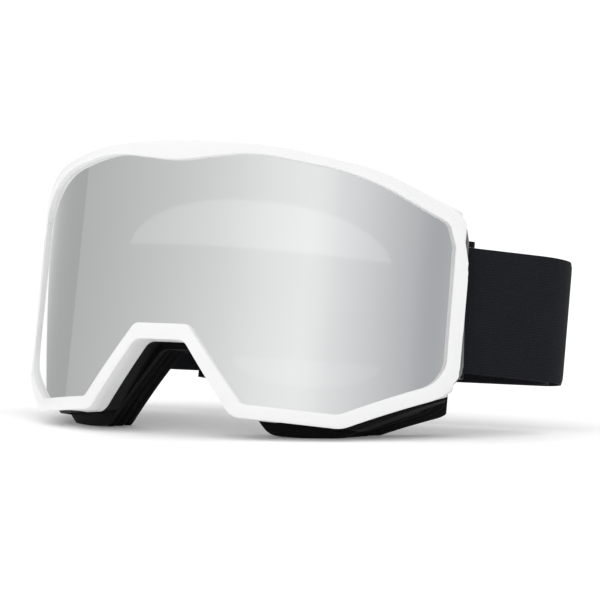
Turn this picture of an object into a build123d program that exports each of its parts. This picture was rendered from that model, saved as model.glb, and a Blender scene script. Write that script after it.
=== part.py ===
from build123d import *
from math import asin, atan2, cos, degrees, hypot, radians, sin, sqrt
import os

# Motorcycle goggles with a magnetic lens unit, a soft face frame and an elastic strap.
# They stand on their cheeks, pitched back. All lengths are in millimetres.

# ---------------------------------------------------------------- driving dimensions
PITCH = 9.4  # how far the face of the goggles leans back, in degrees
HALF_WIDTH = 86.5  # centre line to the side edge of the lens frame
FRONT_HEIGHT = 43.6  # height of the middle of the lens above the surface it stands on
FRONT_DEPTH = -45.5  # the lens front's Y, which centres the whole part on Y = 0

LENS_R = 104.0  # outer surface of the lens, about the lens axis
LENS_AXIS_Y = LENS_R  # depth of the lens axis behind the front of the lens
FACE_AXIS_Y = 116.0  # depth of the axis that the face seal curves about

RIM_PROUD = 2.0  # the frame's front stands this far in front of the lens
OUTER_LENS_T = 1.2
GASKET_T = 2.4
INNER_LENS_T = 0.8
CARRIER_T = 2.0
UNIT_GAP = 0.3  # between the lens unit and the chassis

MAGNET_R = 2.5
MAGNET_T = 1.4
MAGNET_SUNK = 0.1  # each magnet lies this far below the face it sits in
MAGNETS = [(20.0, 45.8), (56.0, 42.4), (45.0, -30.6)]  # across and up, one side

RIM_R = LENS_R + RIM_PROUD
OUTER_LENS_BACK = LENS_R - OUTER_LENS_T
GASKET_BACK = OUTER_LENS_BACK - GASKET_T
INNER_LENS_BACK = GASKET_BACK - INNER_LENS_T
UNIT_BACK = INNER_LENS_BACK - CARRIER_T
CHASSIS_FRONT = UNIT_BACK - UNIT_GAP
UNIT_SEAT = UNIT_BACK + MAGNET_SUNK  # outer faces of the two sets of magnets
CHASSIS_SEAT = CHASSIS_FRONT - MAGNET_SUNK

FLANGE_FRONT = 103.0  # radii about the face axis, from front to back
FLANGE_BACK = 101.0
FOAM_BASE_BACK = 97.5
FOAM_MIDDLE_BACK = 93.5
FOAM_FACE_BACK = 90.0
FOAM_SET_IN = 0.3  # the softer layers stand in from the base by this much

LENS_LAP = 1.4  # how far the lens runs under the frame's lip
GASKET_WIDTH = 2.0  # how far the gasket reaches inside the lens opening
CARRIER_WIDTH = 6.5  # how far the magnet carrier reaches inside the lens opening

STRAP_W = 40.0
STRAP_T = 1.6
STRAP_MID = 5.2  # height of the strap's middle line above the middle of the lens
LOOP_R = 2.0  # strap's middle line round the bar
TURN_R = 14.0  # strap's middle line at the bend behind each temple
BAR = (81.2, 50.6)  # bar that the strap loops round, across and back
TURN = (88.7, 75.7)  # centre of the strap's bend
TAIL_X = 22.0  # each free strap end stops this far from the centre line
FLEX_START = 53.0  # depth where the strap begins to flex when it swings
FLEX_END = 65.0  # depth behind which the whole strap swings as one
BAR_R = 1.1
BAR_WALL = 0.7  # of the bracket round the bar
PLATE_T = 2.6  # bracket plate, let into the chassis and the foam's base
PLATE_PROUD = 0.2
PLATE_START = 0.4  # behind the chassis's corner
PLATE_TAPER = 0.8  # the plate's inner face starts this much further back
PLATE_L = 6.6
ARM_ROOT = 3.6
ARM_T = 1.8  # bracket arms over and under the strap's edges
ARM_GAP = 0.3

SLIDER_X = 38.0
SLIDER_L = 15.0
SLIDER_WALL = 1.2
SLIDER_PLAY = 0.3
SLIDER_ROUND = 2.0
SLIDER_END = 2.4  # end bars, beyond the strap's edges
WINDOW_L = 9.0  # windows through both faces, across and in from each end
WINDOW_IN = 1.0

# Plan corners of the side that every layer ends at, behind the lens unit.
CHASSIS_CORNER = (78.6, 48.3)
FOAM_CORNER = (70.5, 64.0)
REAR_CORNER = (60.0, 88.0)

# Vent slots through the chassis: angles about the lens axis, length, start height, reach.
TOP_SLOTS = ((-28.0, -18.8, -6.0, 6.0, 18.8, 28.0), 12.0, 25.0, 35.0)
CHEEK_SLOTS = ((-34.0, -23.6, 23.6, 34.0), 7.0, -15.0, -35.0)
SLOT_W = 2.2
AIR_SLOT = (9.0, 2.6)  # through the lens frame, beside the gasket
AIR_SLOTS = ((22.0, 30.0, 30.0), (34.5, -20.0, -30.0))  # across, start height, reach
VENT_IN = 1.2  # the filter foams start this far behind the chassis's front
VENT_W = 2.4
VENT_T = 1.7
TOP_VENT = ((-51.0, 51.0), (30.0, 60.0))  # where each filter lies, across and up
RIGHT_VENT = ((33.0, 57.0), (-50.0, -20.0))
LEFT_VENT = ((-57.0, -33.0), (-50.0, -20.0))

GRIP_RIBS = 5  # silicone ribs on the inside of the rear run
GRIP_T = 0.6
GRIP_L = 30.0
GRIP_H = 1.6
GRIP_PITCH = 6.0

# Half outlines seen from the front: corner points across and up, each with its radius.
# A corner on the centre line is not mirrored.
RIM_HALF = [
    ((0.0, 52.2), 180),
    ((35.0, 51.0), 160),
    ((65.0, 45.6), 44),
    ((83.7, 35.2), 12),
    ((87.0, 12.5), 60),
    ((86.6, -15.5), 14),
    ((83.4, -24.2), 10),
    ((60.3, -37.3), 7),
    ((28.0, -36.3), 6),
    ((9.6, -12.9), 5),
]
LENS_HALF = [
    ((0.0, 45.2), 60),
    ((27.5, 48.4), 60),
    ((60.5, 43.6), 60),
    ((80.8, 31.3), 4),
    ((82.4, 24.0), 6),
    ((82.6, -14.5), 12),
    ((80.2, -20.5), 8),
    ((58.7, -32.8), 6),
    ((31.0, -31.9), 3),
    ((10.4, -7.6), 3),
]
CHASSIS_HALF = [
    ((34.0, 50.5), 180),
    ((62.0, 45.2), 44),
    ((76.4, 36.2), 9),
    ((84.0, 14.0), 60),
    ((84.0, -21.0), 9),
    ((60.0, -36.8), 7),
    ((28.3, -35.9), 6),
    ((9.4, -12.4), 5),
]
SEAL_HALF = [
    ((32.0, 49.4), 150),
    ((57.0, 44.4), 40),
    ((70.4, 34.6), 10),
    ((82.0, 6.0), 60),
    ((72.8, -28.4), 6),
    ((51.0, -40.6), 10),
    ((32.7, -40.4), 6),
    ((9.0, -14.6), 4),
]
PORT_HALF = [
    ((32.0, 41.0), 90),
    ((58.0, 37.5), 26),
    ((67.0, 27.0), 9),
    ((67.5, -12.0), 12),
    ((57.0, -25.5), 8),
    ((36.5, -26.0), 7),
    ((15.5, -1.0), 8),
]

# ---------------------------------------------------------------- planes
TILT = radians(PITCH)
ORIGIN = Vector(0, FRONT_DEPTH, FRONT_HEIGHT)
# FACE looks at the goggles from the front: its x is across, its y is up the face.
FACE = Plane(origin=ORIGIN, x_dir=(1, 0, 0), z_dir=(0, -cos(TILT), sin(TILT)))
# DECK looks down on them: its x is across, its y is the depth behind the lens front.
DECK = Plane(origin=ORIGIN, x_dir=(1, 0, 0), z_dir=(0, sin(TILT), cos(TILT)))
FLOOR = Plane.XY
DEPTH = 95.0  # deeper than every piece that is cut from the front
TALL = 70.0  # further up and down than every piece
AHEAD = 10.0  # further forward than every piece
STRAP_SPAN = 120.0  # further to the side and back than the strap
OVERCUT = 1.0  # cuts run this far past the faces they open


def side_corner(radius):
    """Where the frame's radial side plane meets a cylinder about the lens axis."""
    run = sqrt(RIM_R**2 - HALF_WIDTH**2)
    return (HALF_WIDTH * radius / RIM_R, LENS_AXIS_Y - run * radius / RIM_R)


def outline(half, mode=Mode.ADD):
    """Adds to the open sketch the closed outline whose right half is given."""
    mirrored = [((-x, y), radius) for (x, y), radius in reversed(half) if x > 0]
    points = [point for point, _ in half + mirrored]
    radii = [radius for _, radius in half + mirrored]
    with BuildLine() as border:
        FilletPolyline(*points, radius=radii, close=True)
    make_face(border.edges(), mode=mode)


def plan_band(front, back):
    """Adds to the open DECK sketch the band between two arcs, each (radius, axis depth)."""
    with Locations((0, front[1])):
        Circle(front[0])
    with Locations((0, back[1])):
        Circle(back[0], mode=Mode.SUBTRACT)
    unit_side = [(HALF_WIDTH, -AHEAD), side_corner(RIM_R), side_corner(UNIT_BACK)]
    edge = unit_side + [CHASSIS_CORNER, FOAM_CORNER, REAR_CORNER]
    with BuildLine() as border:
        Polyline(*edge, *[(-x, y) for x, y in reversed(edge)], close=True)
    make_face(border.edges(), mode=Mode.INTERSECT)


def about_lens(radius):
    return (radius, LENS_AXIS_Y)


def about_face(radius):
    return (radius, FACE_AXIS_Y)


def radial_plane(x, z, radius):
    """Plane facing out of the lens, on the cylinder of that radius about the lens axis."""
    turn = asin(x / LENS_R)
    centre = DECK.from_local_coords(
        Vector(radius * sin(turn), LENS_AXIS_Y - radius * cos(turn), z)
    )
    tip = DECK.from_local_coords(
        Vector((radius + 1) * sin(turn), LENS_AXIS_Y - (radius + 1) * cos(turn), z)
    )
    return Plane(origin=centre, x_dir=DECK.z_dir, z_dir=tip - centre)


def magnet_discs(inner, outer, mode=Mode.ADD):
    """Adds to the open part a disc at each magnet's place, between two radii."""
    for side in (1, -1):
        for x, z in MAGNETS:
            with BuildSketch(radial_plane(side * x, z, inner)) as disc:
                Circle(MAGNET_R)
            extrude(disc.sketch, amount=outer - inner, mode=mode)


# ---------------------------------------------------------------- lens unit
# Opening through the frame's lip, and the pocket behind it that holds the lenses.
with BuildSketch(FACE) as opening:
    outline(LENS_HALF)

with BuildPart() as lens_pocket:
    with BuildSketch(FACE):
        add(opening.sketch_local)
        offset(amount=LENS_LAP)
    extrude(amount=-DEPTH)
    with BuildSketch(DECK):
        with Locations((0, LENS_AXIS_Y)):
            Circle(LENS_R)
    extrude(amount=TALL, both=True, mode=Mode.INTERSECT)

# White frame: a ring with a lip in front of the lens and a wall round it.
with BuildPart() as lens_frame:
    with BuildSketch(FACE):
        outline(RIM_HALF)
    extrude(amount=-DEPTH)
    with BuildSketch(DECK):
        plan_band(about_lens(RIM_R), about_lens(UNIT_BACK))
    extrude(amount=TALL, both=True, mode=Mode.INTERSECT)
    with BuildSketch(FACE):
        add(opening.sketch_local)
    extrude(amount=-DEPTH, both=True, mode=Mode.SUBTRACT)
    add(lens_pocket.part, mode=Mode.SUBTRACT)
    # Air slots through the top and bottom walls, beside the gasket.
    for across, up, height in AIR_SLOTS:
        with BuildSketch(DECK.offset(up)):
            for side in (1, -1):
                turn = asin(side * across / LENS_R)
                mid = (OUTER_LENS_BACK + UNIT_BACK) / 2
                spot = (mid * sin(turn), LENS_AXIS_Y - mid * cos(turn))
                with Locations(Location((*spot, 0), (0, 0, degrees(turn)))):
                    SlotOverall(*AIR_SLOT)
        extrude(amount=height, mode=Mode.SUBTRACT)


def lens_layer(front, back, grow, inner_shrink=None):
    """Solid of one layer behind the lens opening, a plate or, with inner_shrink, a ring."""
    with BuildPart() as layer:
        with BuildSketch(FACE):
            add(opening.sketch_local)
            offset(amount=grow)
        extrude(amount=-DEPTH)
        with BuildSketch(DECK):
            plan_band(about_lens(front), about_lens(back))
        extrude(amount=TALL, both=True, mode=Mode.INTERSECT)
        if inner_shrink is not None:
            with BuildSketch(FACE):
                add(opening.sketch_local)
                offset(amount=-inner_shrink)
            extrude(amount=-DEPTH, mode=Mode.SUBTRACT)
    return layer


outer_lens = lens_layer(LENS_R, OUTER_LENS_BACK, LENS_LAP)
lens_gasket = lens_layer(OUTER_LENS_BACK, GASKET_BACK, LENS_LAP, GASKET_WIDTH)
inner_lens = lens_layer(GASKET_BACK, INNER_LENS_BACK, LENS_LAP)
magnet_carrier = lens_layer(INNER_LENS_BACK, UNIT_BACK, LENS_LAP, CARRIER_WIDTH)
with magnet_carrier:
    magnet_discs(UNIT_BACK - OVERCUT, UNIT_SEAT + MAGNET_T, mode=Mode.SUBTRACT)
with BuildPart() as lens_magnets:
    magnet_discs(UNIT_SEAT, UNIT_SEAT + MAGNET_T)

# ---------------------------------------------------------------- vent filter foams
VENT_FRONT = CHASSIS_FRONT - VENT_IN
VENT_BACK = VENT_FRONT - VENT_W


def vent_foam(across, up):
    """Filter strip lying in the wall round the face port, within a range across and up."""
    with BuildPart() as strip:
        with BuildSketch(FACE):
            outline(PORT_HALF)
            offset(amount=VENT_T)
            outline(PORT_HALF, mode=Mode.SUBTRACT)
            with BuildLine():
                Polyline(
                    (across[0], up[0]),
                    (across[1], up[0]),
                    (across[1], up[1]),
                    (across[0], up[1]),
                    close=True,
                )
            make_face(mode=Mode.INTERSECT)
        extrude(amount=-DEPTH)
        with BuildSketch(DECK):
            plan_band(about_lens(VENT_FRONT), about_lens(VENT_BACK))
        extrude(amount=TALL, both=True, mode=Mode.INTERSECT)
    return strip


vent_foam_top = vent_foam(*TOP_VENT)
vent_foam_lower_right = vent_foam(*RIGHT_VENT)
vent_foam_lower_left = vent_foam(*LEFT_VENT)

# ---------------------------------------------------------------- strap brackets
SIDE_RUN = Vector(*FOAM_CORNER) - Vector(*CHASSIS_CORNER)
SIDE_WAY = SIDE_RUN.normalized()
SIDE_OUT = Vector(SIDE_WAY.Y, -SIDE_WAY.X)


def on_side(along, out):
    """Plan point beside the chassis: along its side from the corner, and out from it."""
    return Vector(*CHASSIS_CORNER) + SIDE_WAY * along + SIDE_OUT * out


def plan_shape(points, side):
    """Adds to the open DECK sketch a straight-sided shape, mirrored for side -1."""
    with BuildLine() as border:
        Polyline(*[(side * point.X, point.Y) for point in points], close=True)
    make_face(border.edges())


def strap_bracket(side):
    """A plate at the side of the chassis, with two arms that hold the strap's bar."""
    low = STRAP_MID - STRAP_W / 2 - ARM_GAP
    high = STRAP_MID + STRAP_W / 2 + ARM_GAP
    inside = PLATE_PROUD - PLATE_T
    plate = [
        on_side(PLATE_START, PLATE_PROUD),
        on_side(PLATE_START + PLATE_L, PLATE_PROUD),
        on_side(PLATE_L, inside),
        on_side(PLATE_START + PLATE_TAPER, inside),
    ]
    arm_root = [
        on_side(PLATE_START, 0.0),
        on_side(PLATE_START, PLATE_PROUD),
        on_side(PLATE_START + ARM_ROOT, PLATE_PROUD),
    ]
    spot = (side * BAR[0], BAR[1])
    with BuildPart() as bracket:
        with BuildSketch(DECK.offset(low - ARM_T)):
            plan_shape(plate, side)
        extrude(amount=high - low + 2 * ARM_T)
        for level in (low - ARM_T, high):
            with BuildSketch(DECK.offset(level)):
                plan_shape(arm_root, side)
                with Locations(spot):
                    Circle(BAR_R + BAR_WALL)
                make_hull()
            extrude(amount=ARM_T)
        # Holes through both arms for the bar.
        with BuildSketch(DECK.offset(low - ARM_T)):
            with Locations(spot):
                Circle(BAR_R)
        extrude(amount=high - low + 2 * ARM_T, mode=Mode.SUBTRACT)
    return bracket


def strap_bar(side):
    """Steel bar pressed through both arms of one bracket."""
    length = STRAP_W + 2 * (ARM_GAP + ARM_T)
    with BuildPart() as bar:
        with BuildSketch(DECK.offset(STRAP_MID - length / 2)):
            with Locations((side * BAR[0], BAR[1])):
                Circle(BAR_R)
        extrude(amount=length)
    return bar


strap_bracket_right = strap_bracket(1)
strap_bracket_left = strap_bracket(-1)
strap_bar_right = strap_bar(1)
strap_bar_left = strap_bar(-1)

# ---------------------------------------------------------------- face frame
# Chassis: the ring that the lens unit sits on.
with BuildPart() as chassis:
    with BuildSketch(FACE):
        outline(CHASSIS_HALF)
        outline(PORT_HALF, mode=Mode.SUBTRACT)
    extrude(amount=-DEPTH)
    with BuildSketch(DECK):
        plan_band(about_lens(CHASSIS_FRONT), about_face(FLANGE_FRONT))
    extrude(amount=TALL, both=True, mode=Mode.INTERSECT)
    # Vent slots through the top wall and the cheek walls, over the filter foams.
    slot_radius = (VENT_FRONT + VENT_BACK) / 2
    for angles, length, up, height in (TOP_SLOTS, CHEEK_SLOTS):
        with BuildSketch(DECK.offset(up)):
            for angle in angles:
                turn = radians(angle)
                spot = (slot_radius * sin(turn), LENS_AXIS_Y - slot_radius * cos(turn))
                with Locations(Location((*spot, 0), (0, 0, angle))):
                    SlotOverall(length, SLOT_W)
        extrude(amount=height, mode=Mode.SUBTRACT)
    for foam in (vent_foam_top, vent_foam_lower_right, vent_foam_lower_left):
        add(foam.part, mode=Mode.SUBTRACT)
    magnet_discs(CHASSIS_SEAT - MAGNET_T, CHASSIS_FRONT + OVERCUT, mode=Mode.SUBTRACT)
    for bracket in (strap_bracket_right, strap_bracket_left):
        add(bracket.part, mode=Mode.SUBTRACT)
    split(bisect_by=FLOOR, keep=Keep.TOP)

with BuildPart() as frame_magnets:
    magnet_discs(CHASSIS_SEAT - MAGNET_T, CHASSIS_SEAT)


def seal_layer(front, back, grow, port_grow):
    """Ring of the face seal between two radii about the face axis, flat where it rests."""
    with BuildPart() as ring:
        with BuildSketch(FACE):
            outline(SEAL_HALF)
            if grow:
                offset(amount=grow)
        extrude(amount=-DEPTH)
        with BuildSketch(FACE):
            outline(PORT_HALF)
            if port_grow:
                offset(amount=port_grow)
        extrude(amount=-DEPTH, mode=Mode.SUBTRACT)
        with BuildSketch(DECK):
            plan_band(about_face(front), about_face(back))
        extrude(amount=TALL, both=True, mode=Mode.INTERSECT)
        for bracket in (strap_bracket_right, strap_bracket_left):
            add(bracket.part, mode=Mode.SUBTRACT)
        split(bisect_by=FLOOR, keep=Keep.TOP)
    return ring


face_flange = seal_layer(FLANGE_FRONT, FLANGE_BACK, 0, 0)
foam_base = seal_layer(FLANGE_BACK, FOAM_BASE_BACK, 0, 0)
foam_middle = seal_layer(FOAM_BASE_BACK, FOAM_MIDDLE_BACK, -FOAM_SET_IN, -FOAM_SET_IN)
foam_face = seal_layer(FOAM_MIDDLE_BACK, FOAM_FACE_BACK, -FOAM_SET_IN, 0)

# ---------------------------------------------------------------- strap
LEAN = asin((TURN_R - LOOP_R) / hypot(BAR[0] - TURN[0], TURN[1] - BAR[1])) - atan2(
    BAR[0] - TURN[0], TURN[1] - BAR[1]
)  # how far the strap's side runs lean outward
RETURN_R = TURN_R - 2 * LOOP_R
REAR_Y = TURN[1] + TURN_R
TAIL_Y = TURN[1] + RETURN_R


def strap_half_path(side):
    """Adds one half of the strap's plan: tail, inner run, loop on the bar, outer run."""
    out = Vector(cos(LEAN), -sin(LEAN))
    bar = Vector(*BAR)
    turn = Vector(*TURN)

    def flip(point):
        return (side * point.X, point.Y)

    def bend(centre, radius):
        middle = radians(45) - LEAN / 2
        ends = [turn + out * radius, turn + Vector(cos(middle), sin(middle)) * radius]
        ends.append(centre + Vector(0, radius))
        ThreePointArc(*[flip(point) for point in ends])

    Line(flip(Vector(TAIL_X, TAIL_Y)), flip(turn + Vector(0, RETURN_R)))
    bend(turn, RETURN_R)
    Line(flip(turn + out * RETURN_R), flip(bar - out * LOOP_R))
    nose = bar + Vector(-sin(LEAN), -cos(LEAN)) * LOOP_R
    ThreePointArc(flip(bar - out * LOOP_R), flip(nose), flip(bar + out * LOOP_R))
    Line(flip(bar + out * LOOP_R), flip(turn + out * TURN_R))
    bend(turn, TURN_R)
    Line(flip(turn + Vector(0, TURN_R)), (0, REAR_Y))


with BuildSketch() as strap_plan:
    for side in (1, -1):
        with BuildLine() as half_path:
            strap_half_path(side)
        trace(half_path.edges(), line_width=STRAP_T)


def strap_piece(x_range, y_range):
    """The part of the strap within a range across and a range back, at full width."""
    with BuildPart() as piece:
        with BuildSketch(DECK.offset(STRAP_MID - STRAP_W / 2)):
            add(strap_plan.sketch_local)
            with Locations((sum(x_range) / 2, sum(y_range) / 2)):
                wide = x_range[1] - x_range[0]
                deep = y_range[1] - y_range[0]
                Rectangle(wide, deep, mode=Mode.INTERSECT)
        extrude(amount=STRAP_W)
    return piece


strap_loop_right = strap_piece((0, STRAP_SPAN), (0, FLEX_START))
strap_loop_left = strap_piece((-STRAP_SPAN, 0), (0, FLEX_START))
strap_flex_right = strap_piece((0, STRAP_SPAN), (FLEX_START, FLEX_END))
strap_flex_left = strap_piece((-STRAP_SPAN, 0), (FLEX_START, FLEX_END))
strap_band = strap_piece((-STRAP_SPAN, STRAP_SPAN), (FLEX_END, STRAP_SPAN))

# Silicone grip ribs on the inside of the rear run, between the strap's free ends.
with BuildPart() as strap_grip:
    grip_plane = Plane(
        origin=DECK.from_local_coords(Vector(0, REAR_Y - STRAP_T / 2, STRAP_MID)),
        x_dir=(1, 0, 0),
        z_dir=FACE.z_dir,
    )
    with BuildSketch(grip_plane):
        with GridLocations(0, GRIP_PITCH, 1, GRIP_RIBS):
            SlotOverall(GRIP_L, GRIP_H)
    extrude(amount=GRIP_T)

# Sliders: a frame round both strap layers, with a bar between them.
LAYERS_FRONT = TAIL_Y - STRAP_T / 2 - SLIDER_PLAY
LAYERS_BACK = REAR_Y + STRAP_T / 2 + SLIDER_PLAY
SLIDER_H = STRAP_W + 2 * (SLIDER_PLAY + SLIDER_END)


def slider(side):
    """One slider, open at both faces between its end bars."""
    middle = (LAYERS_FRONT + LAYERS_BACK) / 2
    thick = LAYERS_BACK - LAYERS_FRONT + 2 * SLIDER_WALL
    with BuildPart() as body:
        with BuildSketch(DECK.offset(STRAP_MID - SLIDER_H / 2)):
            with Locations((side * SLIDER_X, middle)):
                RectangleRounded(SLIDER_L, thick, SLIDER_ROUND)
        extrude(amount=SLIDER_H)
        # Channels for the two layers.
        channel = STRAP_T + 2 * SLIDER_PLAY
        with BuildSketch(DECK.offset(STRAP_MID - STRAP_W / 2 - SLIDER_PLAY)):
            with Locations((side * SLIDER_X, TAIL_Y), (side * SLIDER_X, REAR_Y)):
                Rectangle(SLIDER_L + 2 * OVERCUT, channel)
        extrude(amount=STRAP_W + 2 * SLIDER_PLAY, mode=Mode.SUBTRACT)
        # Windows in both faces, and the space beside the middle bar.
        with BuildSketch(DECK.offset(STRAP_MID - STRAP_W / 2 + WINDOW_IN)):
            with Locations((side * SLIDER_X, LAYERS_FRONT), (side * SLIDER_X, LAYERS_BACK)):
                Rectangle(WINDOW_L, 2 * SLIDER_WALL + OVERCUT)
        extrude(amount=STRAP_W - 2 * WINDOW_IN, mode=Mode.SUBTRACT)
    return body


slider_right = slider(1)
slider_left = slider(-1)

# ---------------------------------------------------------------- files
PIECES = {
    "lens_frame": lens_frame,
    "outer_lens": outer_lens,
    "lens_gasket": lens_gasket,
    "inner_lens": inner_lens,
    "magnet_carrier": magnet_carrier,
    "lens_magnets": lens_magnets,
    "chassis": chassis,
    "frame_magnets": frame_magnets,
    "face_flange": face_flange,
    "vent_foam_top": vent_foam_top,
    "vent_foam_lower_right": vent_foam_lower_right,
    "vent_foam_lower_left": vent_foam_lower_left,
    "foam_base": foam_base,
    "foam_middle": foam_middle,
    "foam_face": foam_face,
    "strap_bracket_right": strap_bracket_right,
    "strap_bracket_left": strap_bracket_left,
    "strap_bar_right": strap_bar_right,
    "strap_bar_left": strap_bar_left,
    "strap_loop_right": strap_loop_right,
    "strap_loop_left": strap_loop_left,
    "strap_flex_right": strap_flex_right,
    "strap_flex_left": strap_flex_left,
    "strap_band": strap_band,
    "strap_grip": strap_grip,
    "slider_right": slider_right,
    "slider_left": slider_left,
}

os.makedirs("parts", exist_ok=True)
for name, piece in PIECES.items():
    piece.part.label = name
    export_step(piece.part, f"parts/{name}.step")
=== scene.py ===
import math

import bmesh
import bpy
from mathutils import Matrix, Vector


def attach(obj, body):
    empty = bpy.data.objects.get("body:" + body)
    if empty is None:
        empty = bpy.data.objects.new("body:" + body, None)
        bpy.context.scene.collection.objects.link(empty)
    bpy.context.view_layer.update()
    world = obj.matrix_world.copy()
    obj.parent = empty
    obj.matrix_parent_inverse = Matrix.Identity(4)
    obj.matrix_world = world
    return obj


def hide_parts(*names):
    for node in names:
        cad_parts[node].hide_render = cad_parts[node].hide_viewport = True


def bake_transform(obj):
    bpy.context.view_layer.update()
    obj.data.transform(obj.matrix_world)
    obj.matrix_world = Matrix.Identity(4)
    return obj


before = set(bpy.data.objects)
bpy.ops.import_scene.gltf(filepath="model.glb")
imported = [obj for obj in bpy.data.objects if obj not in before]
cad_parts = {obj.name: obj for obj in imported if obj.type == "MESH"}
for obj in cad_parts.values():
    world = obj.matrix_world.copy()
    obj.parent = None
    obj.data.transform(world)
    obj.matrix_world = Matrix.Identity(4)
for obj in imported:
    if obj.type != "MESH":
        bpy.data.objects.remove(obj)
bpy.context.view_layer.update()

# Motorcycle goggles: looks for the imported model. All lengths are in metres, in the row frame.

# ------------------------------------------------------------ dimensions shared with the CAD
MM = 0.001
PITCH = math.radians(9.4)
FRONT = Vector((0, -45.5, 43.6)) * MM  # middle of the lens front
HALF_WIDTH = 86.5 * MM
LENS_R = 104.0 * MM
LENS_AXIS = LENS_R
FACE_AXIS = 116.0 * MM
RIM_R = LENS_R + 2.0 * MM
OUTER_LENS_BACK = LENS_R - 1.2 * MM
INNER_LENS_FRONT = OUTER_LENS_BACK - 2.4 * MM
INNER_LENS_BACK = INNER_LENS_FRONT - 0.8 * MM
UNIT_BACK = INNER_LENS_BACK - 2.0 * MM
LENS_LAP = 1.4 * MM
AIR_SLOT = (9.0 * MM, 2.6 * MM)  # length and width
# Where each air slot is across, and the two heights that its cutter runs between.
AIR_SLOTS = [(22.0 * MM, 30.0 * MM, 60.0 * MM), (34.5 * MM, -50.0 * MM, -20.0 * MM)]
FOAM_LEVELS = [101.0 * MM, 97.5 * MM, 93.5 * MM, 90.0 * MM]  # radii, from the front back
# Two plan points (across, depth) on the line that the goggles' sides keep within.
CHASSIS_CORNER = (78.6 * MM, 48.3 * MM)
FOAM_CORNER = (70.5 * MM, 64.0 * MM)
FOAM_SET_IN = 0.3 * MM

STRAP_W = 40.0 * MM
STRAP_T = 1.6 * MM
STRAP_MID = 5.2 * MM  # height of its middle
LOOP_R = 2.0 * MM  # radius round the bar
TURN_R = 14.0 * MM  # radius of the turn to the rear
RETURN_R = TURN_R - 2 * LOOP_R  # and of the layer that comes back inside it
# Plan points (across, depth) of the bar and of the turn's centre.
BAR = Vector((81.2, 50.6)) * MM
TURN = Vector((88.7, 75.7)) * MM
TAIL_X = 22.0 * MM  # where the free end stops

# Half outlines from the front, in millimetres: corners across and up, each with its radius.
# A corner on the centre line is not mirrored.
RIM_HALF = [
    ((0.0, 52.2), 180), ((35.0, 51.0), 160), ((65.0, 45.6), 44), ((83.7, 35.2), 12),
    ((87.0, 12.5), 60), ((86.6, -15.5), 14), ((83.4, -24.2), 10), ((60.3, -37.3), 7),
    ((28.0, -36.3), 6), ((9.6, -12.9), 5),
]
LENS_HALF = [
    ((0.0, 45.2), 60), ((27.5, 48.4), 60), ((60.5, 43.6), 60), ((80.8, 31.3), 4),
    ((82.4, 24.0), 6), ((82.6, -14.5), 12), ((80.2, -20.5), 8), ((58.7, -32.8), 6),
    ((31.0, -31.9), 3), ((10.4, -7.6), 3),
]
SEAL_HALF = [
    ((32.0, 49.4), 150), ((57.0, 44.4), 40), ((70.4, 34.6), 10), ((82.0, 6.0), 60),
    ((72.8, -28.4), 6), ((51.0, -40.6), 10), ((32.7, -40.4), 6), ((9.0, -14.6), 4),
]
PORT_HALF = [
    ((32.0, 41.0), 90), ((58.0, 37.5), 26), ((67.0, 27.0), 9), ((67.3, 8.0), 20),
    ((67.5, -12.0), 12), ((57.0, -25.5), 8), ((36.5, -26.0), 7), ((15.5, -1.0), 8),
]

WARP_PITCH = 0.85 * MM  # ribs along the strap, and weft rows across it
WEFT_PITCH = 0.55 * MM
WAVE_LENGTH = math.pi / 10  # a wave texture's period at a scale of one
ARC_STEPS = 10
LINE_STEPS = 12
NEARLY_STRAIGHT = math.radians(89.5)  # half a corner's angle, beyond which it is not rounded


def place(x, depth, up):
    """A point of the upright goggles (across, behind the lens front, up) in the row frame."""
    turned = Vector((
        x,
        depth * math.cos(PITCH) + up * math.sin(PITCH),
        up * math.cos(PITCH) - depth * math.sin(PITCH),
    ))
    return turned + FRONT


# ------------------------------------------------------------ outlines
def closed_outline(half):
    """Points round a closed outline with rounded corners, the same number for each corner."""
    corners = [(Vector(p) * MM, r * MM) for p, r in half]
    corners += [(Vector((-p.x, p.y)), r) for p, r in reversed(corners) if p.x > 0]
    count = len(corners)
    arcs = []
    for i, (corner, radius) in enumerate(corners):
        before = corners[i - 1][0] - corner
        after = corners[(i + 1) % count][0] - corner
        half_angle = before.angle(after) / 2
        reach = radius / math.tan(half_angle)
        reach = min(reach, 0.49 * before.length, 0.49 * after.length)
        start = corner + before.normalized() * reach
        end = corner + after.normalized() * reach
        arcs.append(arc_through(start, corner, end))
    points = []
    for i, arc in enumerate(arcs):
        points += arc
        gap_end = arcs[(i + 1) % count][0]
        for step in range(1, LINE_STEPS):
            points.append(arc[-1].lerp(gap_end, step / LINE_STEPS))
    return points


def arc_through(start, corner, end):
    """Arc that rounds a corner, tangent to both of its sides at start and end."""
    middle_way = (start + end) / 2 - corner
    half_angle = (start - corner).angle(end - corner) / 2
    if half_angle > NEARLY_STRAIGHT:
        return [start.lerp(end, step / ARC_STEPS) for step in range(ARC_STEPS + 1)]
    reach = (start - corner).length
    radius = reach * math.tan(half_angle)
    centre = corner + middle_way.normalized() * (reach / math.cos(half_angle))
    first = start - centre
    last = end - centre
    sweep = first.angle_signed(last)
    points = []
    for step in range(ARC_STEPS + 1):
        turn = -sweep * step / ARC_STEPS
        c, s = math.cos(turn), math.sin(turn)
        points.append(centre + Vector((first.x * c - first.y * s, first.x * s + first.y * c)))
    return points


RIM = closed_outline(RIM_HALF)
LENS = closed_outline(LENS_HALF)
SEAL = closed_outline(SEAL_HALF)
PORT = closed_outline(PORT_HALF)


def on_lens_cylinder(point, radius):
    """The front-view point on a cylinder about the lens axis, kept inside the side plane."""
    limit = HALF_WIDTH * radius / RIM_R
    x = max(-limit, min(limit, point.x))
    return place(x, LENS_AXIS - math.sqrt(radius**2 - x**2), point.y)


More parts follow.
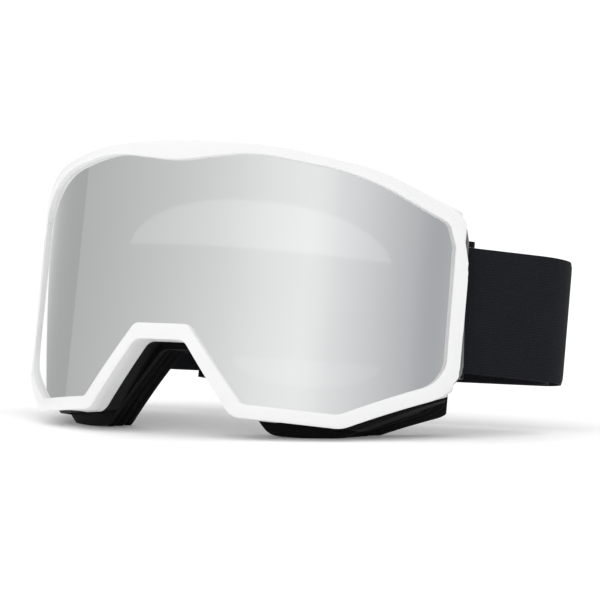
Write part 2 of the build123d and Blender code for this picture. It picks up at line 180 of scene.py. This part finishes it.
def side_limit(radius):
    """How far across a face-seal surface reaches before the goggles' side line."""
    near = Vector(CHASSIS_CORNER)
    far = Vector(FOAM_CORNER)
    low, high = 40 * MM, 85 * MM
    halvings = 40
    for _ in range(halvings):
        x = (low + high) / 2
        depth = FACE_AXIS - math.sqrt(radius**2 - x**2)
        line_x = near.x + (far.x - near.x) * (depth - near.y) / (far.y - near.y)
        if x < line_x:
            low = x
        else:
            high = x
    return low


def on_face_cylinder(point, radius, margin=0.0):
    """The front-view point on a cylinder about the face axis, kept inside the side line."""
    limit = side_limit(radius) - margin
    x = max(-limit, min(limit, point.x))
    return place(x, FACE_AXIS - math.sqrt(radius**2 - x**2), point.y)


# ------------------------------------------------------------ mesh helpers
def new_piece(name, verts, faces, sharp=35):
    """Mesh object from points and faces, smooth apart from edges sharper than an angle."""
    mesh = bpy.data.meshes.new(name)
    mesh.from_pydata([tuple(v) for v in verts], [], faces)
    mesh.validate()
    bm = bmesh.new()
    bm.from_mesh(mesh)
    bmesh.ops.recalc_face_normals(bm, faces=bm.faces)
    bm.to_mesh(mesh)
    bm.free()
    mesh.polygons.foreach_set("use_smooth", [True] * len(mesh.polygons))
    mesh.set_sharp_from_angle(angle=math.radians(sharp))
    piece = bpy.data.objects.new(name, mesh)
    bpy.context.scene.collection.objects.link(piece)
    return piece


def ring_faces(loops, size, closed=True):
    """Faces of a tube made of that many loops, each of that many points."""
    faces = []
    last = loops if closed else loops - 1
    for i in range(last):
        a = i * size
        b = ((i + 1) % loops) * size
        for j in range(size):
            k = (j + 1) % size
            faces.append((a + j, a + k, b + k, b + j))
    return faces


def dress(piece, material):
    """Gives a piece or a CAD node one material."""
    piece.data.materials.clear()
    piece.data.materials.append(material)
    return piece


# ------------------------------------------------------------ materials
def material(name, color, roughness, **values):
    """Principled material with the given fixed values; returns it, its tree and its shader."""
    made = bpy.data.materials.new(name)
    made.use_nodes = True
    tree = made.node_tree
    shader = tree.nodes["Principled BSDF"]
    shader.inputs["Base Color"].default_value = (*color, 1.0)
    shader.inputs["Roughness"].default_value = roughness
    for key, value in values.items():
        shader.inputs[key.replace("_", " ")].default_value = value
    return made, tree, shader


def node(tree, kind, **values):
    """Adds a node; attributes are set by name and inputs by their label."""
    made = tree.nodes.new(kind)
    for key, value in values.items():
        label = key.replace("_", " ")
        if hasattr(made, key):
            setattr(made, key, value)
        else:
            made.inputs[label].default_value = value
    return made


def object_coordinates(tree):
    return node(tree, "ShaderNodeTexCoord").outputs["Object"]


def noise(tree, scale, detail=4.0, rough=0.55, where=None):
    """Noise in object space, at a scale in cycles per metre."""
    made = node(tree, "ShaderNodeTexNoise", Scale=scale, Detail=detail, Roughness=rough)
    tree.links.new(where or object_coordinates(tree), made.inputs["Vector"])
    return made.outputs["Fac"]


def ramp(tree, value, low, high, start=0.0, end=1.0):
    """Colour that runs from low to high as a value runs from start to end."""
    made = tree.nodes.new("ShaderNodeValToRGB")
    made.color_ramp.elements[0].position = start
    made.color_ramp.elements[0].color = (*low, 1.0)
    made.color_ramp.elements[1].position = end
    made.color_ramp.elements[1].color = (*high, 1.0)
    tree.links.new(value, made.inputs["Fac"])
    return made.outputs["Color"]


def remap(tree, value, low, high):
    """A 0 to 1 value mapped on to a range."""
    made = node(tree, "ShaderNodeMapRange")
    made.inputs["To Min"].default_value = low
    made.inputs["To Max"].default_value = high
    tree.links.new(value, made.inputs["Value"])
    return made.outputs["Result"]


def bump(tree, shader, height, strength, distance):
    made = tree.nodes.new("ShaderNodeBump")
    made.inputs["Strength"].default_value = strength
    made.inputs["Distance"].default_value = distance
    tree.links.new(height, made.inputs["Height"])
    tree.links.new(made.outputs["Normal"], shader.inputs["Normal"])


def white_plastic():
    made, tree, shader = material("white_plastic", (0.8, 0.8, 0.8), 0.42)
    shader.inputs["Coat Weight"].default_value = 0.1
    shader.inputs["Coat Roughness"].default_value = 0.3
    cloudy = noise(tree, 60.0)
    tree.links.new(
        ramp(tree, cloudy, (0.79, 0.79, 0.792), (0.815, 0.815, 0.815), 0.3, 0.7),
        shader.inputs["Base Color"],
    )
    grain = noise(tree, 4200.0, 2.0)
    tree.links.new(remap(tree, noise(tree, 900.0), 0.36, 0.48), shader.inputs["Roughness"])
    bump(tree, shader, grain, 0.12, 0.00004)
    return made


def mirror_coating():
    made, tree, shader = material("mirror_coating", (0.83, 0.835, 0.84), 0.05, Metallic=1.0)
    haze = noise(tree, 18.0, 3.0)
    tree.links.new(
        ramp(tree, haze, (0.815, 0.82, 0.825), (0.845, 0.848, 0.85), 0.25, 0.75),
        shader.inputs["Base Color"],
    )
    tree.links.new(remap(tree, noise(tree, 240.0, 5.0), 0.02, 0.04), shader.inputs["Roughness"])
    return made


def smoke_lens():
    made, tree, shader = material("smoke_lens", (0.10, 0.105, 0.11), 0.06)
    shader.inputs["Specular IOR Level"].default_value = 0.6
    smear = noise(tree, 35.0, 4.0)
    tree.links.new(
        ramp(tree, smear, (0.085, 0.09, 0.095), (0.13, 0.135, 0.14), 0.3, 0.7),
        shader.inputs["Base Color"],
    )
    tree.links.new(remap(tree, smear, 0.04, 0.1), shader.inputs["Roughness"])
    return made


def black_plastic():
    made, tree, shader = material("black_plastic", (0.004, 0.004, 0.0045), 0.5)
    shader.inputs["Specular IOR Level"].default_value = 0.1
    grain = node(tree, "ShaderNodeTexVoronoi", Scale=2600.0)
    tree.links.new(object_coordinates(tree), grain.inputs["Vector"])
    tree.links.new(
        ramp(tree, noise(tree, 150.0), (0.003, 0.003, 0.0035), (0.0055, 0.0055, 0.006), 0.3, 0.7),
        shader.inputs["Base Color"],
    )
    tree.links.new(remap(tree, noise(tree, 500.0), 0.44, 0.58), shader.inputs["Roughness"])
    bump(tree, shader, grain.outputs["Distance"], 0.25, 0.00008)
    return made


def soft_rubber():
    made, tree, shader = material("soft_rubber", (0.003, 0.003, 0.0035), 0.62)
    shader.inputs["Specular IOR Level"].default_value = 0.1
    tree.links.new(
        ramp(tree, noise(tree, 120.0), (0.002, 0.002, 0.0025), (0.004, 0.004, 0.0045), 0.3, 0.7),
        shader.inputs["Base Color"],
    )
    tree.links.new(remap(tree, noise(tree, 800.0), 0.55, 0.7), shader.inputs["Roughness"])
    bump(tree, shader, noise(tree, 3000.0, 3.0), 0.2, 0.00006)
    return made


def foam_material(name, tone, cell, depth):
    """Open-cell foam: pores of one cell size in a dark base."""
    made, tree, shader = material(name, (tone, tone, tone * 1.05), 0.95)
    shader.inputs["Specular IOR Level"].default_value = 0.1
    pores = node(tree, "ShaderNodeTexVoronoi", Scale=1.0 / cell)
    tree.links.new(object_coordinates(tree), pores.inputs["Vector"])
    tree.links.new(
        ramp(
            tree, pores.outputs["Distance"],
            (tone * 0.4,) * 3, (tone * 1.5, tone * 1.5, tone * 1.6), 0.1, 0.6,
        ),
        shader.inputs["Base Color"],
    )
    bump(tree, shader, pores.outputs["Distance"], 0.6, depth)
    return made


def fleece():
    made, tree, shader = material("fleece", (0.006, 0.006, 0.007), 1.0)
    shader.inputs["Specular IOR Level"].default_value = 0.1
    shader.inputs["Sheen Weight"].default_value = 0.02
    shader.inputs["Sheen Roughness"].default_value = 0.5
    fuzz = noise(tree, 2400.0, 6.0, 0.7)
    tree.links.new(
        ramp(tree, fuzz, (0.002, 0.002, 0.0025), (0.012, 0.012, 0.013), 0.35, 0.7),
        shader.inputs["Base Color"],
    )
    bump(tree, shader, fuzz, 0.8, 0.0003)
    return made


def webbing():
    """Woven elastic: fine ribs along the strap crossed by weft rows, from the UV in metres."""
    made, tree, shader = material("strap_elastic", (0.011, 0.0115, 0.0135), 0.85)
    shader.inputs["Specular IOR Level"].default_value = 0.08
    shader.inputs["Sheen Weight"].default_value = 0.012
    shader.inputs["Sheen Roughness"].default_value = 0.45
    uv = node(tree, "ShaderNodeTexCoord").outputs["UV"]
    warp = node(tree, "ShaderNodeTexWave", bands_direction="Y", Scale=WAVE_LENGTH / WARP_PITCH)
    weft = node(tree, "ShaderNodeTexWave", bands_direction="X", Scale=WAVE_LENGTH / WEFT_PITCH)
    for wave in (warp, weft):
        wave.inputs["Distortion"].default_value = 1.2
        wave.inputs["Detail"].default_value = 2.0
        wave.inputs["Detail Scale"].default_value = 2.0
        tree.links.new(uv, wave.inputs["Vector"])
    both = node(tree, "ShaderNodeMath", operation="MULTIPLY")
    tree.links.new(warp.outputs["Fac"], both.inputs[0])
    tree.links.new(weft.outputs["Fac"], both.inputs[1])
    fibre = noise(tree, 1700.0, 5.0, 0.7)
    mixed = node(tree, "ShaderNodeMath", operation="MULTIPLY_ADD")
    mixed.inputs[1].default_value = 0.45
    tree.links.new(both.outputs["Value"], mixed.inputs[0])
    tree.links.new(fibre, mixed.inputs[2])
    cloudy = noise(tree, 90.0, 3.0)
    shade = node(tree, "ShaderNodeMath", operation="MULTIPLY")
    tree.links.new(mixed.outputs["Value"], shade.inputs[0])
    tree.links.new(remap(tree, cloudy, 0.8, 1.15), shade.inputs[1])
    low = (0.0045, 0.0049, 0.0065)
    high = (0.0165, 0.0172, 0.021)
    tree.links.new(
        ramp(tree, shade.outputs["Value"], low, high, 0.2, 0.95), shader.inputs["Base Color"]
    )
    bump(tree, shader, mixed.outputs["Value"], 0.35, 0.00012)
    return made


def silicone():
    made, tree, shader = material("silicone", (0.05, 0.05, 0.055), 0.3)
    tree.links.new(
        ramp(tree, noise(tree, 300.0), (0.04, 0.04, 0.044), (0.065, 0.065, 0.07), 0.3, 0.7),
        shader.inputs["Base Color"],
    )
    tree.links.new(remap(tree, noise(tree, 700.0), 0.24, 0.38), shader.inputs["Roughness"])
    return made


def metal(name, color, roughness, stretch):
    """Plain metal with fine marks, drawn out along the row's Z by a stretch under one."""
    made, tree, shader = material(name, color, roughness, Metallic=1.0)
    stretched = node(tree, "ShaderNodeMapping")
    stretched.inputs["Scale"].default_value = (1.0, 1.0, stretch)
    tree.links.new(object_coordinates(tree), stretched.inputs["Vector"])
    marks = noise(tree, 2500.0, 3.0, 0.5, stretched.outputs["Vector"])
    tree.links.new(
        ramp(tree, marks, tuple(c * 0.85 for c in color), color, 0.3, 0.7),
        shader.inputs["Base Color"],
    )
    tree.links.new(
        remap(tree, marks, roughness * 0.8, roughness * 1.3), shader.inputs["Roughness"]
    )
    return made


WHITE = white_plastic()
MIRROR = mirror_coating()
SMOKE = smoke_lens()
BLACK = black_plastic()
RUBBER = soft_rubber()
GASKET = foam_material("gasket_foam", 0.01, 0.0004, 0.0001)
FILTER = foam_material("filter_foam", 0.02, 0.0009, 0.0004)
FOAM = foam_material("face_foam", 0.003, 0.0006, 0.00018)
FLEECE = fleece()
ELASTIC = webbing()
SILICONE = silicone()
STEEL = metal("steel_wire", (0.5, 0.5, 0.51), 0.32, 0.05)
NICKEL = metal("nickel_plate", (0.66, 0.64, 0.6), 0.22, 1.0)


# ------------------------------------------------------------ lens unit
def slot_cutter(across, low, high, size):
    """Upright prism with round ends, for a slot through a wall beside the lens gasket."""
    turn = math.asin(across / LENS_R)
    radius = (OUTER_LENS_BACK + UNIT_BACK) / 2
    tangent = Vector((math.cos(turn), math.sin(turn)))
    outward = Vector((math.sin(turn), -math.cos(turn)))
    centre = outward * radius + Vector((0, LENS_AXIS))
    length, width = size
    rounds = 10
    plan = []
    for end in (1, -1):
        for i in range(rounds + 1):
            a = math.pi * (i / rounds - 0.5)
            along = end * ((length - width) / 2 + width / 2 * math.cos(a))
            plan.append(centre + tangent * along + outward * (end * width / 2 * math.sin(a)))
    verts = [place(p.x, p.y, up) for up in (low, high) for p in plan]
    count = len(plan)
    faces = [tuple(range(count)), tuple(reversed(range(count, 2 * count)))]
    faces += [(i, (i + 1) % count, count + (i + 1) % count, count + i) for i in range(count)]
    return new_piece("slot_cutter", verts, faces)


def cut_out(piece, cutters, sharp):
    """Cuts other meshes out of a piece for good, and removes them."""
    for cutter in cutters:
        cut = piece.modifiers.new("cut", "BOOLEAN")
        cut.operation = "DIFFERENCE"
        cut.solver = "EXACT"
        cut.object = cutter
    bpy.context.view_layer.update()
    whole = piece.evaluated_get(bpy.context.evaluated_depsgraph_get())
    mesh = bpy.data.meshes.new_from_object(whole)
    piece.modifiers.clear()
    piece.data = mesh
    mesh.set_sharp_from_angle(angle=math.radians(sharp))
    for cutter in cutters:
        bpy.data.objects.remove(cutter)
    return piece


def share(value):
    """A value kept between none and all."""
    return max(0.0, min(1.0, value))


def lens_frame():
    """White frame: rounded front lip, bevelled edges, outer wall and the pocket behind."""
    edge = 0.6 * MM
    flare = 0.7  # how nearly the opening's wall follows the lens's radius
    draft = 1.0 * MM  # the top and upper side walls draw in by this much towards the back
    cheek_draft = 2.6 * MM  # and the walls under the cheeks by this much
    upper_full = 30 * MM  # height where the upper draft is whole
    cheek_top, cheek_fade = 8 * MM, 8 * MM  # how far down the cheek draft starts and fades in
    cheek_start, cheek_width = 38 * MM, 14 * MM  # and how far across
    crown = 0.15 * MM
    round_back = 0.3 * MM
    sections = []
    for inner, outer in zip(LENS, RIM):
        across = (outer - inner).normalized()
        lap = min(LENS_LAP, (outer - inner).length * 0.45)
        mouth = Vector((inner.x * (1 + flare * (RIM_R - LENS_R) / LENS_R), inner.y))
        upper = share(outer.y / upper_full)
        below = share((-cheek_top - outer.y) / cheek_fade)
        cheek = below * share((abs(outer.x) - cheek_start) / cheek_width)
        drawn = outer - across * (draft * upper + cheek_draft * cheek)
        lip = [
            (inner + across * lap, LENS_R),
            (inner, LENS_R),
            (mouth.lerp(inner, 0.3), RIM_R - 0.9 * edge),
            (mouth + across * 0.25 * edge, RIM_R - 0.3 * edge),
            (mouth + across * edge, RIM_R),
            (mouth.lerp(outer, 0.35), RIM_R + crown),
            (mouth.lerp(outer, 0.65), RIM_R + crown),
            (outer - across * edge, RIM_R),
            (outer - across * 0.3 * edge, RIM_R - 0.3 * edge),
            (outer, RIM_R - edge),
            (outer.lerp(drawn, 0.5), (RIM_R + UNIT_BACK) / 2),
            (drawn, UNIT_BACK + round_back),
            (drawn - across * round_back, UNIT_BACK),
            (inner + across * lap, UNIT_BACK),
        ]
        sections.append([on_lens_cylinder(p, r) for p, r in lip])
    verts = [v for section in sections for v in section]
    ring = new_piece("lens_frame_shell", verts, ring_faces(len(sections), len(sections[0])))
    cutters = []
    for side in (1, -1):
        for across, low, high in AIR_SLOTS:
            cutters.append(slot_cutter(side * across, low, high, AIR_SLOT))
    return cut_out(ring, cutters, 28)


def band_heights(points, x):
    """Lowest and highest up values where a closed outline crosses one place across."""
    found = []
    for a, b in zip(points, points[1:] + points[:1]):
        if (a.x - x) * (b.x - x) <= 0 and abs(a.x - b.x) > 1e-9:
            found.append(a.y + (b.y - a.y) * (x - a.x) / (b.x - a.x))
    return min(found), max(found)


def lens_plate(name, front, back, grow):
    """Curved plate behind the lens opening, in columns that follow the cylinder."""
    border = []
    for inner, outer in zip(LENS, RIM):
        border.append(inner + (outer - inner).normalized() * grow)
    reach = max(p.x for p in border) - 0.02 * MM
    columns = 180
    rows = 40
    crowding = 0.35  # how strongly the columns crowd towards the sides
    verts = []
    for radius in (front, back):
        for i in range(columns + 1):
            t = i / columns * 2 - 1
            x = reach * math.sin(t * math.pi / 2) * crowding + reach * t * (1 - crowding)
            low, high = band_heights(border, x)
            for j in range(rows + 1):
                up = low + (high - low) * j / rows
                verts.append(place(x, LENS_AXIS - math.sqrt(radius**2 - x**2), up))
    size = rows + 1
    side = (columns + 1) * size
    faces = []
    for i in range(columns):
        for j in range(rows):
            a = i * size + j
            faces.append((a, a + 1, a + size + 1, a + size))
            faces.append((side + a, side + a + size, side + a + size + 1, side + a + 1))
    edge = [i * size for i in range(columns + 1)]
    edge += [columns * size + j for j in range(1, size)]
    edge += [i * size + rows for i in range(columns - 1, -1, -1)]
    edge += [j for j in range(rows - 1, 0, -1)]
    for a, b in zip(edge, edge[1:] + edge[:1]):
        faces.append((a, b, side + b, side + a))
    return new_piece(name, verts, faces)


shell = dress(lens_frame(), WHITE)
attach(shell, "lens_unit")
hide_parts("lens_frame")

mirror = dress(lens_plate("mirrored_lens", LENS_R, OUTER_LENS_BACK, 1.2 * MM), MIRROR)
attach(mirror, "lens_unit")
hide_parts("outer_lens")

clear = dress(lens_plate("smoke_inner_lens", INNER_LENS_FRONT, INNER_LENS_BACK, 1.2 * MM), SMOKE)
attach(clear, "lens_unit")
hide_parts("inner_lens")


# ------------------------------------------------------------ face foam
def foam_ring(name, front, back, swell, round_off, shrink):
    """One layer of the face foam: rounded edges, sides that swell, flat where it rests."""
    sections = []
    for outer, inner in zip(SEAL, PORT):
        across = (outer - inner).normalized()
        o = outer - across * shrink
        i = inner + across * shrink
        mid = (front + back) / 2
        profile = [
            (o - across * round_off, front),
            (o, front - round_off * 0.6),
            (o + across * swell, mid),
            (o, back + round_off),
            (o - across * round_off * 0.35, back + round_off * 0.35),
            (o - across * round_off, back),
            (o.lerp(i, 0.3), back - swell),
            (o.lerp(i, 0.7), back - swell),
            (i + across * round_off, back),
            (i + across * round_off * 0.35, back + round_off * 0.35),
            (i, back + round_off),
            (i - across * swell, mid),
            (i, front - round_off * 0.6),
            (i + across * round_off, front),
        ]
        section = []
        for point, radius in profile:
            beyond = (point - outer).dot(across)
            v = on_face_cylinder(point, radius, max(0.0, -beyond) * 0.8)
            v.z = max(v.z, 0.0)
            section.append(v)
        sections.append(section)
    verts = [v for section in sections for v in section]
    return new_piece(name, verts, ring_faces(len(sections), len(sections[0])), 60)


FOAM_LAYERS = [
    ("foam_base", "base_foam_ring", FOAM, 0.15 * MM, 0.7 * MM, 0.1 * MM),
    ("foam_middle", "middle_foam_ring", FOAM, 0.3 * MM, 1.1 * MM, FOAM_SET_IN),
    ("foam_face", "fleece_foam_ring", FLEECE, 0.25 * MM, 1.5 * MM, FOAM_SET_IN),
]
for level, (cad_node, name, skin, swell, round_off, shrink) in enumerate(FOAM_LAYERS):
    layer = foam_ring(
        name, FOAM_LEVELS[level], FOAM_LEVELS[level + 1], swell, round_off, shrink
    )
    dress(layer, skin)
    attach(layer, "face_frame")
    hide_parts(cad_node)


# ------------------------------------------------------------ strap
def strap_half():
    """Plan points of the strap's right half, from its free end round the bar to the rear."""
    away = TURN - BAR
    lean = math.asin((TURN_R - LOOP_R) / away.length) - math.atan2(-away.x, away.y)

    def arc(centre, radius, start, end, steps):
        return [
            centre + Vector((math.cos(a), math.sin(a))) * radius
            for a in (start + (end - start) * i / steps for i in range(steps + 1))
        ]

    def line(a, b, step=1.5 * MM):
        count = max(2, round((b - a).length / step))
        return [a.lerp(b, i / count) for i in range(1, count)]

    rear = math.pi / 2
    inner = arc(TURN, RETURN_R, rear, -lean, 20)
    loop = arc(BAR, LOOP_R, math.pi - lean, 2 * math.pi - lean, 24)
    outer = arc(TURN, TURN_R, -lean, rear, 28)
    tail = Vector((TAIL_X, TURN.y + RETURN_R))
    points = [tail] + line(tail, inner[0]) + inner + line(inner[-1], loop[0]) + loop
    points += line(loop[-1], outer[0]) + outer
    return points + line(outer[-1], Vector((0, TURN.y + TURN_R)))


def strap():
    """The whole elastic strap as one ribbon with thinned selvages and UVs in metres."""
    half = strap_half()
    middle = Vector((0, TURN.y + TURN_R))
    path = half + [middle] + [Vector((-p.x, p.y)) for p in reversed(half)]
    across = []
    for i, p in enumerate(path):
        ahead = path[min(i + 1, len(path) - 1)] - path[max(i - 1, 0)]
        ahead.normalize()
        across.append(Vector((ahead.y, -ahead.x)))
    rows = 26
    half_w = STRAP_W / 2
    half_t = STRAP_T / 2
    thinning = 0.55
    selvage = 24  # the higher this is, the narrower the thinned edge
    profile = []
    for side in (1, -1):
        for j in range(rows + 1):
            v = (j / rows * 2 - 1) * side
            edge = abs(v) ** selvage
            profile.append((v * half_w, side * half_t * (1 - thinning * edge)))
    verts = []
    along = [0.0]
    for a, b in zip(path, path[1:]):
        along.append(along[-1] + (b - a).length)
    for p, n in zip(path, across):
        for up, thick in profile:
            spot = p + n * thick
            verts.append(place(spot.x, spot.y, STRAP_MID + up))
    size = len(profile)
    faces = ring_faces(len(path), size, closed=False)
    faces.append(tuple(range(size)))
    faces.append(tuple(reversed(range((len(path) - 1) * size, len(path) * size))))
    piece = new_piece("elastic_strap", verts, faces, 50)
    uv = piece.data.uv_layers.new(name="UVMap")
    for loop in piece.data.loops:
        ring, j = divmod(loop.vertex_index, size)
        uv.data[loop.index].uv = (along[ring], profile[j][0])
    return piece


ribbon = dress(strap(), ELASTIC)
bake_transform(ribbon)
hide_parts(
    "strap_band", "strap_flex_right", "strap_flex_left",
    "strap_loop_right", "strap_loop_left",
)


# ------------------------------------------------------------ CAD nodes that stay
def finish_node(name, skin, width=0.0, segments=3):
    """Gives a CAD node its material and, with a width, rounded edges."""
    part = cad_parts[name]
    dress(part, skin)
    if width:
        rounding = part.modifiers.new("rounded_edges", "BEVEL")
        rounding.width = width
        rounding.segments = segments
        rounding.limit_method = "ANGLE"
        rounding.angle_limit = math.radians(35)
        rounding.use_clamp_overlap = True


finish_node("chassis", BLACK, 0.3 * MM)
finish_node("face_flange", RUBBER, 0.4 * MM)
finish_node("magnet_carrier", BLACK, 0.2 * MM)
finish_node("lens_gasket", GASKET)
finish_node("lens_magnets", NICKEL, 0.15 * MM)
finish_node("frame_magnets", NICKEL, 0.15 * MM)
for name in ("vent_foam_top", "vent_foam_lower_right", "vent_foam_lower_left"):
    finish_node(name, FILTER)
for side in ("right", "left"):
    finish_node("strap_bracket_" + side, BLACK, 0.3 * MM)
    finish_node("strap_bar_" + side, STEEL, 0.15 * MM)
    finish_node("slider_" + side, BLACK, 0.35 * MM)
finish_node("strap_grip", SILICONE, 0.25 * MM)


# ------------------------------------------------------------ floor
def white_floor():
    """Plain white floor that gives off a little light, which keeps the shadow on it pale."""
    reach = 6.0
    mesh = bpy.data.meshes.new("floor")
    mesh.from_pydata(
        [(-reach, -reach, 0), (reach, -reach, 0), (reach, reach, 0), (-reach, reach, 0)],
        [], [(0, 1, 2, 3)],
    )
    floor = bpy.data.objects.new("floor", mesh)
    bpy.context.scene.collection.objects.link(floor)
    skin, _, shader = material("floor_white", (0.93, 0.93, 0.93), 0.9)
    shader.inputs["Emission Color"].default_value = (1, 1, 1, 1)
    shader.inputs["Emission Strength"].default_value = 0.1
    floor.data.materials.append(skin)
    return floor


floor = white_floor()

# ------------------------------------------------------------ surroundings
# The studio wall in degrees round from the left (-X) by the front (-Y) and the right, with its
# brightness there. In front it is brightest a little to the right of the lens and falls off
# both ways; behind the goggles it is bright again.
STUDIO_WALL = [
    (0, 0.5), (45, 0.65), (75, 0.75), (105, 1.0), (120, 0.9), (150, 0.5), (165, 0.4),
    (205, 1.0), (300, 1.1), (330, 0.45), (360, 0.45),
]
WALL_COOL = (130, 180)  # stops between these are slightly blue
COOLNESS = 0.03
SKY = 1.1


def wall_shades(tree):
    """Colour of the studio wall by the direction that a ray leaves in."""
    round_about = node(tree, "ShaderNodeTexGradient", gradient_type="RADIAL")
    direction = node(tree, "ShaderNodeTexCoord").outputs["Generated"]
    tree.links.new(direction, round_about.inputs["Vector"])
    shades = tree.nodes.new("ShaderNodeValToRGB")
    shades.color_ramp.interpolation = "B_SPLINE"
    for i, (angle, level) in enumerate(STUDIO_WALL):
        if i == 0:
            stop = shades.color_ramp.elements[0]
        elif i == len(STUDIO_WALL) - 1:
            stop = shades.color_ramp.elements[-1]
        else:
            stop = shades.color_ramp.elements.new(angle / 360)
        cool = COOLNESS if WALL_COOL[0] < angle < WALL_COOL[1] else 0.0
        stop.color = (level * (1 - cool), level, level * (1 + cool), 1.0)
    tree.links.new(round_about.outputs["Fac"], shades.inputs["Fac"])
    return shades.outputs["Color"]


def studio_world():
    """Even white sky, with the studio wall in reflections that follow no diffuse bounce."""
    world = bpy.data.worlds.new("studio")
    bpy.context.scene.world = world
    world.use_nodes = True
    tree = world.node_tree
    sky = tree.nodes["Background"]
    sky.inputs["Color"].default_value = (1, 1, 1, 1)
    sky.inputs["Strength"].default_value = SKY
    wall = node(tree, "ShaderNodeBackground", Strength=1.0)
    tree.links.new(wall_shades(tree), wall.inputs["Color"])
    rays = node(tree, "ShaderNodeLightPath")
    undiffused = node(tree, "ShaderNodeMath", operation="LESS_THAN")
    undiffused.inputs[1].default_value = 0.5
    tree.links.new(rays.outputs["Diffuse Depth"], undiffused.inputs[0])
    reflected = node(tree, "ShaderNodeMath", operation="MULTIPLY")
    tree.links.new(rays.outputs["Is Glossy Ray"], reflected.inputs[0])
    tree.links.new(undiffused.outputs["Value"], reflected.inputs[1])
    chosen = node(tree, "ShaderNodeMixShader")
    tree.links.new(reflected.outputs["Value"], chosen.inputs["Fac"])
    tree.links.new(sky.outputs["Background"], chosen.inputs[1])
    tree.links.new(wall.outputs["Background"], chosen.inputs[2])
    tree.links.new(chosen.outputs["Shader"], tree.nodes["World Output"].inputs["Surface"])


studio_world()

# ------------------------------------------------------------ camera
CAMERA_AZIMUTH = math.radians(33.87)
CAMERA_ELEVATION = math.radians(2.43)
CAMERA_DISTANCE = 0.936
CAMERA_LENS = 174.7  # millimetres, as the sensor's width is
SENSOR_WIDTH = 36.0
VIEW_ASIDE = 0.0433  # the view's centre is this far to the right of the lens's middle


def view_centre():
    """The point that the camera looks at."""
    return FRONT + Vector((math.cos(CAMERA_AZIMUTH), math.sin(CAMERA_AZIMUTH), 0)) * VIEW_ASIDE


def add_camera(aim):
    """Camera aimed at a point from the front, a little above level."""
    data = bpy.data.cameras.new("camera")
    data.sensor_width = SENSOR_WIDTH
    data.lens = CAMERA_LENS
    data.clip_start = 0.01
    camera = bpy.data.objects.new("camera", data)
    bpy.context.scene.collection.objects.link(camera)
    sight = Vector((
        math.sin(CAMERA_AZIMUTH) * math.cos(CAMERA_ELEVATION),
        -math.cos(CAMERA_AZIMUTH) * math.cos(CAMERA_ELEVATION),
        math.sin(CAMERA_ELEVATION),
    ))
    camera.location = aim + sight * CAMERA_DISTANCE
    camera.rotation_euler = (-sight).to_track_quat("-Z", "Y").to_euler()
    bpy.context.scene.camera = camera


aim = view_centre()
add_camera(aim)
bpy.context.scene.view_settings.view_transform = "Standard"


# ------------------------------------------------------------ lights
def glow_material(name, strength):
    """Faint light that is added to what lies behind it."""
    made = bpy.data.materials.new(name)
    made.use_nodes = True
    tree = made.node_tree
    tree.nodes.remove(tree.nodes["Principled BSDF"])
    light = node(tree, "ShaderNodeEmission", Strength=strength)
    see_through = node(tree, "ShaderNodeBsdfTransparent")
    both = node(tree, "ShaderNodeAddShader")
    tree.links.new(light.outputs["Emission"], both.inputs[0])
    tree.links.new(see_through.outputs["BSDF"], both.inputs[1])
    tree.links.new(both.outputs["Shader"], tree.nodes["Material Output"].inputs["Surface"])
    return made


def glow_panel(name, first, last, base, rise, strength):
    """Faint curved panel of light round the front, seen only in reflections.

    It spans two angles in degrees; base is the height of its straight edge at each end, and
    its arched edge is up to rise away from that.
    """
    distance = 0.5  # from the axis of the lens
    columns = 60
    fullness, shoulder = 2.3, 0.6  # how square the arch is, and how steep at its ends
    verts = []
    for i in range(columns + 1):
        t = i / columns * 2 - 1
        angle = math.radians((first + last) / 2 + (last - first) / 2 * t)
        arch = (1 - abs(t) ** fullness) ** shoulder
        straight = base[0] + (base[1] - base[0]) * (t + 1) / 2
        for height in (straight, straight + rise * arch):
            verts.append(place(
                math.sin(angle) * distance, LENS_AXIS - math.cos(angle) * distance, height
            ))
    faces = [(2 * i, 2 * i + 2, 2 * i + 3, 2 * i + 1) for i in range(columns)]
    panel = new_piece(name, verts, faces)
    panel.data.materials.append(glow_material(name, strength))
    panel.visible_camera = False
    panel.visible_diffuse = False
    panel.visible_shadow = False


def area_light(name, centre, size, target, strength):
    """Square area light of that size at centre, aimed at a point."""
    lamp = bpy.data.lights.new(name, "AREA")
    lamp.shape = "RECTANGLE"
    lamp.size = lamp.size_y = size
    lamp.energy = strength
    made = bpy.data.objects.new(name, lamp)
    made.location = centre
    made.rotation_euler = (target - centre).to_track_quat("-Z", "Y").to_euler()
    bpy.context.scene.collection.objects.link(made)


glow_panel("upper_glow", -48, 48, (64 * MM, 60 * MM), 22 * MM, 0.07)
glow_panel("lower_glow", -2, 48, (12 * MM, 13 * MM), -12 * MM, 0.03)

KEY_OFFSET = Vector((-0.5, -0.5, 1.2))  # from the point that the camera looks at
KEY_SIZE = 1.2
KEY_POWER = 2.5
area_light("key", aim + KEY_OFFSET, KEY_SIZE, aim, KEY_POWER)
